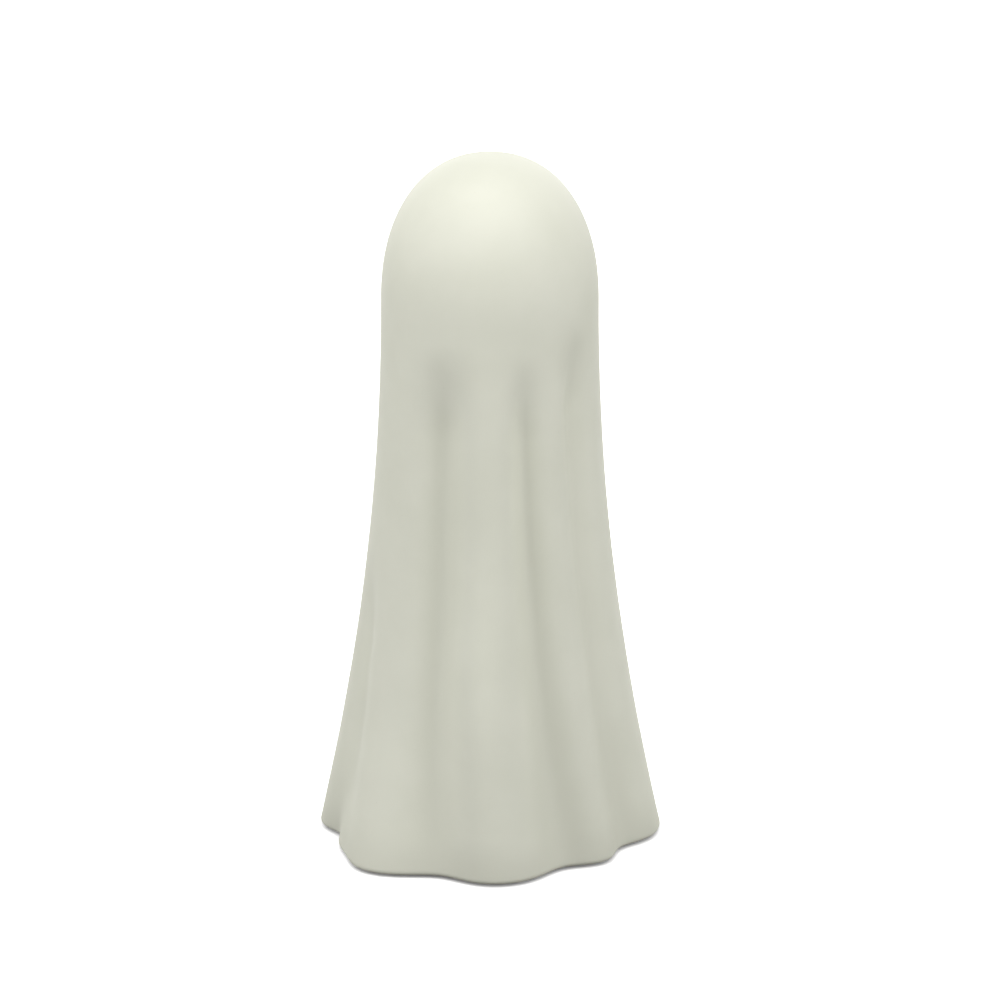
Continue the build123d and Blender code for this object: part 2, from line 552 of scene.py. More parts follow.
def placed(name: str, data: bpy.types.ID) -> bpy.types.Object:
    """Put a mesh, lamp or camera in the scene.

    Args:
        name: Name of its object.
        data: The mesh, lamp or camera.

    Returns:
        The object.
    """
    piece = bpy.data.objects.new(name, data)
    bpy.context.scene.collection.objects.link(piece)
    return piece


def refine(mesh: bpy.types.Mesh, recesses: Sequence[Recess], cuts: int) -> None:
    """Divide the faces in and round recesses, so that their walls come out smooth.

    Args:
        mesh: The blank.
        recesses: What is to be pressed into it.
        cuts: How often each edge is cut.
    """
    work = bmesh.new()
    work.from_mesh(mesh)
    centres = {face: face.calc_center_median() for face in work.faces}
    near = {face for face, centre in centres.items() if any(recess.near(centre) for recess in recesses)}
    edges = [edge for edge in work.edges if any(face in near for face in edge.link_faces)]
    bmesh.ops.subdivide_edges(work, edges=edges, cuts=cuts, use_grid_fill=True)
    work.to_mesh(mesh)
    work.free()


def press_group() -> bpy.types.NodeTree:
    """Make the node group for a recess.

    Returns:
        The group, which gives how deep a point is pressed, from 0 outside the recess to 1 on its floor.
    """
    vector, value = SocketKind.VECTOR, SocketKind.VALUE
    takes = {"Position": vector, "Centre": vector, "Half Sizes": vector, "Wall": value}
    graph = Graph.group("pressed_recess", TreeKind.GEOMETRY, takes, {"Share": value})
    offset = graph.vector("SUBTRACT", graph.taken("Position"), graph.taken("Centre"))
    offset = graph.vector("DIVIDE", offset, graph.taken("Half Sizes"))
    reach = graph.vector("LENGTH", offset, output="Value")
    graph.give("Share", graph.ease(reach, graph.taken("Wall") + 1.0, 1.0))
    return graph.tree


def casting_tree(name: str, rule: DrapeRule, recesses: Sequence[Recess]) -> bpy.types.NodeTree:
    """Node tree that hangs the drape's folds on a turned blank and presses its recesses.

    Args:
        name: Name of the tree.
        rule: Form of the drape.
        recesses: What is pressed into the piece.

    Returns:
        The tree. Its points carry the depth of the folds as a share, under the name hollow.
    """
    geometry, value = SocketKind.GEOMETRY, SocketKind.VALUE
    takes = {"Geometry": geometry, "Wave Depth": value, "Wave Size": value, "Wave Seed": value}
    takes |= {"Deepest Fold": value, "Material": SocketKind.MATERIAL}
    graph = Graph.group(name, TreeKind.GEOMETRY, takes, {"Geometry": geometry})
    level, hang, skin = (
        graph.wire("GeometryNodeInputNamedAttribute", {"Name": title}, "Attribute", data_type="FLOAT")
        for title in CARRIED
    )
    place = graph.wire("GeometryNodeInputPosition")
    across = graph.vector("MULTIPLY", place, (1.0, 1.0, 0.0))
    azimuth = graph.math("DEGREES", graph.math("ARCTAN2", graph.part(place, "Y"), graph.part(place, "X")))
    folds = rule.drawn_in(graph, azimuth, level)
    noise = {"Vector": place, "W": graph.taken("Wave Seed"), "Detail": WAVE_DETAIL}
    noise["Scale"] = 1.0 / graph.taken("Wave Size")
    waves = graph.wire("ShaderNodeTexNoise", noise, noise_dimensions="4D")
    waves = waves * graph.taken("Wave Depth") * skin
    inwards = graph.scaled(graph.vector("NORMALIZE", across), (folds * hang + waves) * -1.0)
    moved = graph.vector("ADD", place, inwards)
    press = bpy.data.node_groups.get("pressed_recess") or press_group()
    hung = moved
    for recess in recesses:
        feeds = {"Position": hung, "Centre": recess.centre}
        feeds |= {"Half Sizes": recess.half_sizes, "Wall": recess.wall}
        share = graph.use(TreeKind.GEOMETRY, press, feeds)["Share"] * skin
        moved = graph.vector("ADD", moved, graph.scaled(recess.push, share))
    hollow = {"Geometry": graph.taken("Geometry"), "Name": "hollow"}
    hollow["Value"] = folds / graph.taken("Deepest Fold")
    cast = graph.wire("GeometryNodeStoreNamedAttribute", hollow, data_type="FLOAT", domain="POINT")
    cast = graph.wire("GeometryNodeSetPosition", {"Geometry": cast, "Position": moved})
    return graph.close(graph.wire("GeometryNodeSetShadeSmooth", {"Geometry": cast}))


def settle(piece: bpy.types.Object, tree: bpy.types.NodeTree, values: Mapping[str, Feed]) -> None:
    """Run a node tree on a piece and keep what comes out as its plain mesh.

    Args:
        piece: The piece, which holds the blank.
        tree: The node tree.
        values: The tree's inputs, by name.
    """
    modifier = piece.modifiers.new(tree.name, "NODES")
    modifier.node_group = tree
    for item in tree.interface.items_tree:
        if item.in_out == "INPUT" and item.name in values:
            modifier[item.identifier] = values[item.name]
    depsgraph = bpy.context.evaluated_depsgraph_get()
    result = bpy.data.meshes.new_from_object(
        piece.evaluated_get(depsgraph), preserve_all_data_layers=True, depsgraph=depsgraph
    )
    blank = piece.data
    piece.modifiers.remove(modifier)
    piece.data = result
    bpy.data.meshes.remove(blank)
    result.name = piece.name
    shed(result)


def shed(mesh: bpy.types.Mesh) -> None:
    """Remove what the points of a blank carried."""
    for title in CARRIED:
        mesh.attributes.remove(mesh.attributes[title])


def hand_over(piece: bpy.types.Object, node: str) -> None:
    """Let a finished piece stand for a CAD node.

    Args:
        piece: The piece.
        node: Name of the CAD node.
    """
    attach(piece, BODY)
    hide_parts(node)
    LOG.info("%s: %d faces", piece.name, len(piece.data.polygons))


def clay_group(sizes: Iterable[str]) -> bpy.types.NodeTree:
    """Make the shader group for fired clay.

    Args:
        sizes: Names of the inputs for the sizes of a clay body.

    Returns:
        The group, which gives fine grain, slow mottling and scattered specks, each from 0 to 1.
    """
    value = SocketKind.VALUE
    takes = {"Vector": SocketKind.VECTOR} | dict.fromkeys(sizes, value)
    gives = dict.fromkeys((*CLAY_DETAIL, "Specks"), value)
    graph = Graph.group("fired_clay", TreeKind.SHADER, takes, gives)
    vector = graph.taken("Vector")
    for title, detail in CLAY_DETAIL.items():
        graph.give(title, graph.noise(vector, graph.taken(f"{title} Size"), detail))
    spacing = graph.taken("Speck Spacing")
    cells = graph.node("ShaderNodeTexVoronoi", {"Vector": vector, "Scale": 1.0 / spacing})
    lot = graph.wire("ShaderNodeSeparateColor", {0: Wire(graph, cells.outputs["Color"])})
    chosen = graph.math("LESS_THAN", lot, graph.taken("Speck Share"))
    reach = graph.taken("Speck Size") / spacing * 0.5
    spot = graph.ease(Wire(graph, cells.outputs["Distance"]), reach, reach * SPECK_CORE)
    graph.give("Specks", spot * chosen)
    return graph.tree


class Surface(Graph):
    """A material while it is being drawn."""

    def __init__(self, name: str) -> None:
        """Start the material with its shader and the piece's own coordinates.

        Args:
            name: Name of the material.
        """
        self.material = bpy.data.materials.new(name)
        self.material.use_nodes = True
        super().__init__(self.material.node_tree)
        self.shader = self.tree.nodes["Principled BSDF"]
        self.place = self.wire("ShaderNodeTexCoord", output="Object")

    def laid(self, turn: float, scale: Sequence[float]) -> Wire:
        """The piece's own coordinates, turned round +Z by degrees and scaled."""
        feeds = {"Vector": self.place, "Rotation": (0.0, 0.0, radians(turn)), "Scale": scale}
        return self.wire("ShaderNodeMapping", feeds)

    def bumped(self, height: Feed, depth: float, strength: float) -> Wire:
        """Normal of the surface with a fine relief on it."""
        return self.wire("ShaderNodeBump", {"Height": height, "Distance": depth, "Strength": strength})

    def dressed(self, feeds: Mapping[str, Feed]) -> bpy.types.Material:
        """Finish the material.

        Args:
            feeds: What goes into its shader, by name.

        Returns:
            The material.
        """
        for name, value in feeds.items():
            self.feed(self.shader.inputs[name], value)
        return self.material


@dataclass(frozen=True)
class ClayBody:
    """Sizes of the marks in a fired clay surface."""

    grain_size: float = 0.45 * MM
    mottle_size: float = 22.0 * MM
    speck_size: float = 0.35 * MM
    speck_spacing: float = 4.0 * MM
    speck_share: float = 0.35

    def marks(self, graph: Surface) -> dict[str, Wire]:
        """Place the clay's marks in a material.

        Args:
            graph: The material.

        Returns:
            The marks, by name.
        """
        sizes = {titled(name): size for name, size in asdict(self).items()}
        group = bpy.data.node_groups.get("fired_clay") or clay_group(sizes)
        return graph.use(TreeKind.SHADER, group, {"Vector": graph.place} | sizes)


@dataclass(frozen=True)
class BisqueFinish:
    """Matte off-white skin of the drape, wiped bare under the hem, with shade painted into its folds and
    towards the hem.
    """

    bare_level: float  # height under which the skin is wiped off
    body: ClayBody = ClayBody()
    pale: Colour = (0.815, 0.820, 0.705)
    main: Colour = (0.785, 0.792, 0.675)
    # painted shade: the colour that the folds darken to with their depth
    hollow: Colour = (0.730, 0.736, 0.625)
    # painted shade: the colour that the skin darkens to towards the hem
    hem: Colour = (0.715, 0.719, 0.612)
    speck: Colour = (0.60, 0.57, 0.46)
    bare: Colour = (0.70, 0.67, 0.57)
    mottle_span: Range = (0.3, 0.7)  # mottling between which pale turns to main
    fold_shade_span: Range = (0.2, 0.8)  # shares of the deepest fold between which the painted shade of the folds comes in
    hem_shade_reach: float = 13.0 * MM  # how far up the painted shade darkens the skin towards the hem
    bare_edge: float = 0.5 * MM  # width of the edge where the skin ends
    speck_tint: float = 0.45
    roughness: Range = (0.60, 0.72)
    speck_depth: float = 0.6  # share of the grain's
    grain_depth: float = 0.03 * MM
    bump_strength: float = 0.6

    def material(self) -> bpy.types.Material:
        """Build the material.

        Returns:
            The material, which reads the depth of the folds from the piece's hollow attribute and paints
            shade into the folds by it.
        """
        graph = Surface("matte_bisque")
        marks = self.body.marks(graph)
        height = graph.part(graph.place, "Z")
        ragged = height + graph.sway(marks["Grain"], self.bare_edge)
        wiped = graph.ease(ragged, self.bare_level, self.bare_level - self.bare_edge)
        depth = graph.wire("ShaderNodeAttribute", output="Fac", attribute_name="hollow")
        # painted shade towards the hem, with a ragged upper edge
        uneven = height + graph.sway(marks["Mottle"], self.hem_shade_reach)
        hem_shade = graph.ease(uneven, self.bare_level + self.hem_shade_reach, self.bare_level)
        colour = graph.mix(graph.ease(marks["Mottle"], *self.mottle_span), self.pale, self.main)
        # painted shade in the folds, deeper where the fold is deeper
        colour = graph.mix(graph.ease(depth, *self.fold_shade_span), colour, self.hollow)
        colour = graph.mix(hem_shade, colour, self.hem)
        colour = graph.mix(marks["Specks"] * self.speck_tint, colour, self.speck)
        colour = graph.mix(wiped, colour, self.bare)
        relief = marks["Grain"] - marks["Specks"] * self.speck_depth
        feeds = {"Base Color": colour, "Roughness": graph.span(marks["Mottle"], *self.roughness)}
        feeds["Normal"] = graph.bumped(relief, self.grain_depth, self.bump_strength)
        return graph.dressed(feeds)


@dataclass(frozen=True)
class BareClayFinish:
    """Unglazed, sponged underside of the floor slab."""

    body: ClayBody = ClayBody(
        grain_size=0.6 * MM, mottle_size=14.0 * MM, speck_size=0.6 * MM, speck_share=0.7
    )
    light: Colour = (0.74, 0.71, 0.62)
    dark: Colour = (0.66, 0.62, 0.53)
    speck: Colour = (0.42, 0.36, 0.27)
    stroke_size: float = 2.2 * MM  # width of the sponge's strokes
    stroke_scale: tuple[float, float, float] = (0.12, 1.0, 1.0)  # along a stroke, across it and up
    stroke_turn: float = 25.0  # degrees
    stroke_detail: float = 3.0  # octaves of noise
    stroke_tint: float = 0.4  # share of the tone, where mottling makes the rest
    tone_span: Range = (0.35, 0.65)  # tone between which light turns to dark
    speck_tint: float = 0.7
    roughness: Range = (0.82, 0.95)
    stroke_relief: float = 0.6  # share of the relief, where grain makes the rest
    speck_relief: float = 0.5
    relief: float = 0.12 * MM
    bump_strength: float = 0.8

    def material(self) -> bpy.types.Material:
        """Build the material.

        Returns:
            The material.
        """
        graph = Surface("bare_clay")
        marks = self.body.marks(graph)
        laid = graph.laid(self.stroke_turn, self.stroke_scale)
        strokes = graph.noise(laid, self.stroke_size, self.stroke_detail)
        tone = graph.ease(graph.blend(strokes, marks["Mottle"], self.stroke_tint), *self.tone_span)
        colour = graph.mix(tone, self.light, self.dark)
        colour = graph.mix(marks["Specks"] * self.speck_tint, colour, self.speck)
        relief = graph.blend(strokes, marks["Grain"], self.stroke_relief)
        relief = relief - marks["Specks"] * self.speck_relief
        feeds = {"Base Color": colour, "Roughness": graph.span(marks["Grain"], *self.roughness)}
        feeds["Normal"] = graph.bumped(relief, self.relief, self.bump_strength)
        return graph.dressed(feeds)


@dataclass(frozen=True)
class BlackGlazeFinish:
    """Glossy black glaze of the eyes, which breaks to brown where it thins out at the edge."""

    body: ClayBody = ClayBody(
        grain_size=0.9 * MM, mottle_size=3.0 * MM, speck_size=0.12 * MM, speck_spacing=1.5 * MM
    )
    black: Colour = (0.012, 0.012, 0.014)
    brown: Colour = (0.060, 0.032, 0.018)
    edge_span: Range = (0.80, 1.0)  # shares of the half sizes between which the glaze thins out
    edge_drift: float = 0.15  # how far that wanders
    roughness: Range = (0.06, 0.16)
    pit_roughness: float = 0.4
    ripple: float = 0.02 * MM
    bump_strength: float = 0.3

    def material(self) -> bpy.types.Material:
        """Build the material.

        Returns:
            The material, which reads how far out it is from the piece's edge attribute.
        """
        graph = Surface("black_glaze")
        marks = self.body.marks(graph)
        edge = graph.wire("ShaderNodeAttribute", output="Fac", attribute_name="edge")
        thin = graph.ease(edge + graph.sway(marks["Mottle"], self.edge_drift), *self.edge_span)
        pits = marks["Specks"] * self.pit_roughness
        rough = graph.math("MAXIMUM", graph.span(marks["Mottle"], *self.roughness), pits)
        feeds = {"Base Color": graph.mix(thin, self.black, self.brown), "Roughness": rough}
        feeds["Normal"] = graph.bumped(marks["Grain"] - marks["Specks"], self.ripple, self.bump_strength)
        return graph.dressed(feeds)


@dataclass(frozen=True)
class FeltFinish:
    """Pressed wool felt of the feet."""

    pale: Colour = (0.60, 0.58, 0.53)
    deep: Colour = (0.46, 0.44, 0.39)
    fibre_width: float = 0.05 * MM
    fibre_scale: tuple[float, float, float] = (0.08, 1.0, 0.6)  # along a fibre, across it and up
    fibre_turns: tuple[float, ...] = (20.0, 75.0, 140.0)  # degrees
    fibre_detail: float = 1.0  # octaves of noise
    fibre_span: Range = (0.45, 0.75)  # noise between which a fibre stands out
    fibre_tint: float = 0.6  # share of the colour, where clumps make the rest
    fibre_relief: float = 0.7  # share of the relief, where clumps make the rest
    clump_size: float = 1.6 * MM
    clump_detail: float = 3.0  # octaves of noise
    relief: float = 0.12 * MM
    bump_strength: float = 0.7
    roughness: float = 0.95
    sheen: float = 0.3

    def material(self) -> bpy.types.Material:
        """Build the material.

        Returns:
            The material.
        """
        graph = Surface("pressed_felt")
        clumps = graph.noise(graph.place, self.clump_size, self.clump_detail)
        strongest: Feed = 0.0
        for turn in self.fibre_turns:
            strand = graph.noise(graph.laid(turn, self.fibre_scale), self.fibre_width, self.fibre_detail)
            strongest = graph.math("MAXIMUM", strand, strongest)
        fibres = graph.ease(strongest, *self.fibre_span)
        colour = graph.mix(graph.blend(fibres, clumps, self.fibre_tint), self.deep, self.pale)
        relief = graph.blend(fibres, clumps, self.fibre_relief)
        feeds = {"Base Color": colour, "Normal": graph.bumped(relief, self.relief, self.bump_strength)}
        feeds |= {"Roughness": self.roughness, "Sheen Weight": self.sheen}
        return graph.dressed(feeds)


@dataclass(frozen=True)
class GhostShell:
    """The hollow cast drape, with a rebate under its hem and two pressed eye sockets."""

    rule: DrapeRule
    ledge: float  # top of the rebate
    wall: float = 4.5 * MM
    ledge_width: float = 1.5 * MM
    hem_round: float = 1.2 * MM
    edge_softness: float = 0.4 * MM
    segments: int = 320
    crown_steps: int = 36
    wall_steps: int = 120
    hem_steps: int = 8
    cavity_steps: int = 28
    cavity_crown_steps: int = 12
    refine_cuts: int = 4
    wave_depth: float = 0.22 * MM
    wave_size: float = 24.0 * MM
    wave_seed: float = 4.0
    deepest_fold: float = 7.4 * MM  # depth that counts as 1 in the hollow attribute, which sets the painted shade in the folds

    def hem_arc(self) -> list[Station]:
        """Lay out the rounded hem.

        Returns:
            Stations from the wall down to the rim.
        """
        slope = self.rule.hem_slope()
        middle = self.rule.hem_radius - self.hem_round * (slope + sqrt(1 + slope**2))
        stations = []
        for step in range(self.hem_steps + 1):
            share = step / self.hem_steps
            turn = atan(slope) * (1 - share) - pi / 2 * share
            height = self.rule.hem + self.hem_round * (1 + sin(turn))
            stations.append(Station(middle + self.hem_round * cos(turn), height, height, skin=1 - share))
        return stations

    def profile(self) -> list[Station]:
        """Lay out the shell.

        Returns:
            Stations from the middle of the crown, down the wall, under the rim and up the hollow.
        """
        rule = self.rule
        arc = self.hem_arc()
        outer = rule.crown(0.0, self.crown_steps, 1.0)
        outer += rule.wall(rule.shoulder, arc[0].height, 0.0, self.wall_steps, 1.0)[1:]
        cavity = rule.wall(self.ledge, rule.shoulder, self.wall, self.cavity_steps, 0.0)
        inner_crown = rule.crown(self.wall, self.cavity_crown_steps, 0.0)[::-1]
        rebate = rule.radius(self.ledge, self.wall - self.ledge_width)
        corners = [arc[-1], Station(rebate, rule.hem, self.ledge), Station(rebate, self.ledge, self.ledge)]
        corners += cavity[:2]
        rim = soft_path(corners, self.edge_softness, self.ledge_width)
        return outer + arc[1:] + rim[1:] + cavity[2:] + inner_crown[1:]

    def build(self, sockets: Sequence[Recess], material: bpy.types.Material) -> bpy.types.Object:
        """Build the shell.

        Args:
            sockets: The eye sockets.
            material: Its finish.

        Returns:
            The finished piece.
        """
        shell = turned_blank("drape", self.profile(), self.segments)
        refine(shell.data, sockets, self.refine_cuts)
        values = {"Wave Depth": self.wave_depth, "Wave Size": self.wave_size, "Wave Seed": self.wave_seed}
        values |= {"Deepest Fold": self.deepest_fold, "Material": material}
        settle(shell, casting_tree("drape_casting", self.rule, sockets), values)
        return shell


@dataclass(frozen=True)
class GlazedEye:
    """A domed pool of glaze in its socket."""

    rule: DrapeRule
    node: str
    socket_depth: float = 1.2 * MM
    socket_clearance: float = 0.1 * MM
    socket_wall: float = 0.15  # share of the eye's half sizes
    socket_margin: float = 1.6  # how far round the socket the mesh is refined, in half sizes
    front_depth: float = 0.05 * MM  # middle of the glaze, below the face
    edge_depth: float = 0.75 * MM
    back_clearance: float = 0.05 * MM
    back_rings: tuple[float, ...] = (1.0, 0.9, 0.5, 0.0)  # shares of the half sizes
    dome_fullness: float = 3.0  # power of the dome's superellipse
    rings: int = 18
    segments: int = 72

    def centre(self) -> Vector:
        """Middle of the eye, on the face."""
        low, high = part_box(self.node)
        middle = (Vector(low) + Vector(high)) / 2
        return self.on_face(middle.x, middle.z, 0.0)

    def half_sizes(self) -> tuple[float, float]:
        """Half the eye's width and height."""
        low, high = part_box(self.node)
        return (high[0] - low[0]) / 2, (high[2] - low[2]) / 2

    def on_face(self, across: float, height: float, depth: float) -> Vector:
        """Point at a depth below the face."""
        radius = self.rule.radius(height) - depth
        return Vector((across, -sqrt(radius**2 - across**2), height))

    def socket(self) -> Recess:
        """Work out the socket.

        Returns:
            The recess that the eye lies in.
        """
        wide, tall = (half + self.socket_clearance for half in self.half_sizes())
        centre = self.centre()
        inwards = Vector((-centre.x, -centre.y, 0.0)).normalized()
        half_sizes = Vector((wide, self.rule.shoulder_radius, tall))
        push = inwards * self.socket_depth
        return Recess(centre, half_sizes, push, self.socket_wall, self.socket_margin)

    def profile(self) -> list[tuple[float, float]]:
        """Lay out the glaze.

        Returns:
            Share of the half sizes and depth of each ring, from the front's middle to the back's.
        """
        power = 2 / self.dome_fullness
        steps = [pi / 2 * step / self.rings for step in range(self.rings + 1)]
        rise = self.edge_depth - self.front_depth
        front = [(sin(turn) ** power, self.edge_depth - rise * cos(turn) ** power) for turn in steps]
        back = self.socket_depth - self.back_clearance
        return front + [(share, back) for share in self.back_rings]

    def build(self, material: bpy.types.Material) -> bpy.types.Object:
        """Build the eye from a turned blank laid on the face.

        Args:
            material: Its finish.

        Returns:
            The finished piece.
        """
        blank = [Station(share, -depth, 0.0) for share, depth in self.profile()]
        eye = turned_blank(self.node.replace("eye", "glazed_eye"), blank, self.segments)
        centre, (wide, tall) = self.centre(), self.half_sizes()
        mesh = eye.data
        edge = mesh.attributes.new("edge", "FLOAT", "POINT")
        for vertex, value in zip(mesh.vertices, edge.data):
            value.value = hypot(vertex.co.x, vertex.co.y)
            # The blank's +Z is its front, and the face looks along -Y, so its +Y becomes the figure's +Z
            across, up, front = vertex.co
            vertex.co = self.on_face(centre.x + wide * across, centre.z + tall * up, -front)
        shed(mesh)
        mesh.shade_smooth()
        mesh.materials.append(material)
        return eye


@dataclass(frozen=True)
class FloorSlab:
    """The floor luted into the rebate, with a vent hole and seats for the feet."""

    rule: DrapeRule
    node: str = "base_slab"
    rim_width: float = 3.0 * MM
    lute_gap: float = 0.3 * MM
    vent_radius: float = 5.0 * MM
    edge_softness: float = 0.5 * MM
    spacing: float = 1.4 * MM
    segments: int = 240
    refine_cuts: int = 5
    settle_power: float = 2.0  # how soon the folds die out towards the middle

    def profile(self) -> list[Station]:
        """Lay out the slab.

        Returns:
            Stations from the middle of the top, round the rim, under the floor and up the vent.
        """
        low, high = (corner[2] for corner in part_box(self.node))
        rim = self.rule.radius(high, self.rim_width + self.lute_gap)
        half_way = (rim + self.vent_radius) / 2
        spots = [(half_way, high, 0.0), (rim, high, 0.0), (rim, low, 1.0), (self.vent_radius, low, 1.0)]
        spots += [(self.vent_radius, high, 0.0), (half_way, high, 0.0)]
        corners = [Station(radius, height, high, skin=skin) for radius, height, skin in spots]
        path = soft_path(corners, self.edge_softness, self.spacing)[:-1]
        return [spot._replace(hang=(spot.radius / rim) ** self.settle_power) for spot in path]

    def build(self, seats: Sequence[Recess], material: bpy.types.Material) -> bpy.types.Object:
        """Build the slab.

        Args:
            seats: The seats of the feet.
            material: Its finish.

        Returns:
            The finished piece.
        """
        slab = turned_blank("floor_slab", self.profile(), self.segments)
        refine(slab.data, seats, self.refine_cuts)
        values = {"Wave Depth": 0.0, "Wave Size": 1.0, "Deepest Fold": 1.0, "Material": material}
        settle(slab, casting_tree("slab_casting", self.rule, seats), values)
        return slab


@dataclass(frozen=True)
class FeltFoot:
    """A felt disc in its seat under the slab, with loose fibres round its cut edge."""

    node: str
    slab_level: float  # underside of the slab
    seat_clearance: float = 0.2 * MM
    seat_wall: float = 0.08  # share of the seat's half size
    seat_margin: float = 1.35  # how far round the seat the mesh is refined, in half sizes
    seat_drift: float = 4.5 * MM  # how far the folds may draw the slab in there
    edge_softness: float = 0.15 * MM
    spacing: float = 0.4 * MM
    segments: int = 64
    fibre_length: float = 0.25 * MM
    fibre_radius: float = 0.012 * MM
    fibre_density: float = 14.0e6  # fibres on a square metre
    fibre_lean: float = 55.0  # degrees
    fibre_lift: float = 1.3  # height of the lowest fibres over the table, in fibre lengths

    def centre(self) -> Vector:
        """Middle of the foot, on the table."""
        low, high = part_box(self.node)
        return Vector(((low[0] + high[0]) / 2, (low[1] + high[1]) / 2, low[2]))

    def radius(self) -> float:
        """Radius of the foot."""
        low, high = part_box(self.node)
        return (high[0] - low[0]) / 2

    def seat(self) -> Recess:
        """Work out the seat.

        Returns:
            The recess in the slab that the foot sits in.
        """
        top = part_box(self.node)[1][2]
        half = self.radius() + self.seat_clearance
        centre = self.centre()
        centre.z = self.slab_level
        push = Vector((0.0, 0.0, top - self.slab_level))
        size = Vector((half, half, half))
        return Recess(centre, size, push, self.seat_wall, self.seat_margin, self.seat_drift)

    def build(self, seed: int, material: bpy.types.Material) -> bpy.types.Object:
        """Build the foot.

        Args:
            seed: Number that the fibres' places are drawn from.
            material: Its finish.

        Returns:
            The finished piece.
        """
        low, high = (corner[2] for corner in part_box(self.node))
        radius = self.radius() - self.fibre_radius
        spots = [(0.0, high), (radius, high), (radius, low), (0.0, low)]
        path = soft_path([Station(*spot, spot[1]) for spot in spots], self.edge_softness, self.spacing)
        foot = turned_blank(self.node.replace("felt", "pressed_felt"), path, self.segments, self.centre())
        values = {"Fibre Length": self.fibre_length, "Fibre Radius": self.fibre_radius, "Seed": seed}
        values |= {"Density": self.fibre_density, "Lean": radians(self.fibre_lean), "Material": material}
        values["Lowest"] = low + self.fibre_length * self.fibre_lift
        values["Highest"] = self.slab_level - self.fibre_length
        settle(foot, bpy.data.node_groups.get("felt_fuzz") or felt_tree(), values)
        return foot


def felt_tree() -> bpy.types.NodeTree:
    """Make the node tree for the feet.

    Returns:
        The tree, which sets loose fibres on the cut edge of a felt disc.
    """
    sizes = ("Density", "Fibre Length", "Fibre Radius", "Lean", "Lowest", "Highest", "Seed")
    takes = {"Geometry": SocketKind.GEOMETRY} | dict.fromkeys(sizes, SocketKind.VALUE)
    takes["Material"] = SocketKind.MATERIAL
    graph = Graph.group("felt_fuzz", TreeKind.GEOMETRY, takes, {"Geometry": SocketKind.GEOMETRY})
    disc = graph.wire("GeometryNodeSetShadeSmooth", {"Geometry": graph.taken("Geometry")})
    height = graph.part(graph.wire("GeometryNodeInputPosition"), "Z")
    above = graph.math("GREATER_THAN", height, graph.taken("Lowest"))
    below = graph.math("LESS_THAN", height, graph.taken("Highest"))
    scatter = {"Mesh": disc, "Selection": above * below}
    scatter |= {title: graph.taken(title) for title in ("Density", "Seed")}
    points = graph.node("GeometryNodeDistributePointsOnFaces", scatter)
    cone = {"Vertices": FIBRE_SIDES, "Side Segments": FIBRE_STEPS, "Radius Top": 0.0}
    cone |= {"Radius Bottom": graph.taken("Fibre Radius"), "Depth": graph.taken("Fibre Length")}
    fibre = graph.wire("GeometryNodeMeshCone", cone, "Mesh", fill_type="NGON")
    lean = graph.taken("Lean")
    least = graph.wire("ShaderNodeCombineXYZ", {"X": lean * -1.0, "Y": lean * -1.0, "Z": 0.0})
    most = graph.wire("ShaderNodeCombineXYZ", {"X": lean, "Y": lean, "Z": 2 * pi})
    draw = {"Min": least, "Max": most, "Seed": graph.taken("Seed")}
    tilt = graph.wire("FunctionNodeRandomValue", draw, data_type="FLOAT_VECTOR")
    turned = {"Rotation": Wire(graph, points.outputs["Rotation"]), "Rotate By": tilt}
    turn = graph.wire("FunctionNodeRotateRotation", turned, rotation_space="LOCAL")
    fuzz = {"Points": Wire(graph, points.outputs["Points"]), "Instance": fibre, "Rotation": turn}
    joined = graph.node("GeometryNodeJoinGeometry")
    for part in (graph.wire("GeometryNodeInstanceOnPoints", fuzz), disc):
        graph.feed(joined.inputs[0], part)
    return graph.close(Wire(graph, joined.outputs[0]))


@dataclass(frozen=True)
class Lamp:
    """A round soft lamp, placed round the figure as seen from the camera."""

    name: str
    azimuth: float  # degrees from the camera, towards the left of the picture
    elevation: float  # degrees
    power: float  # watts
    size: float = 0.8
    distance: float = 1.3


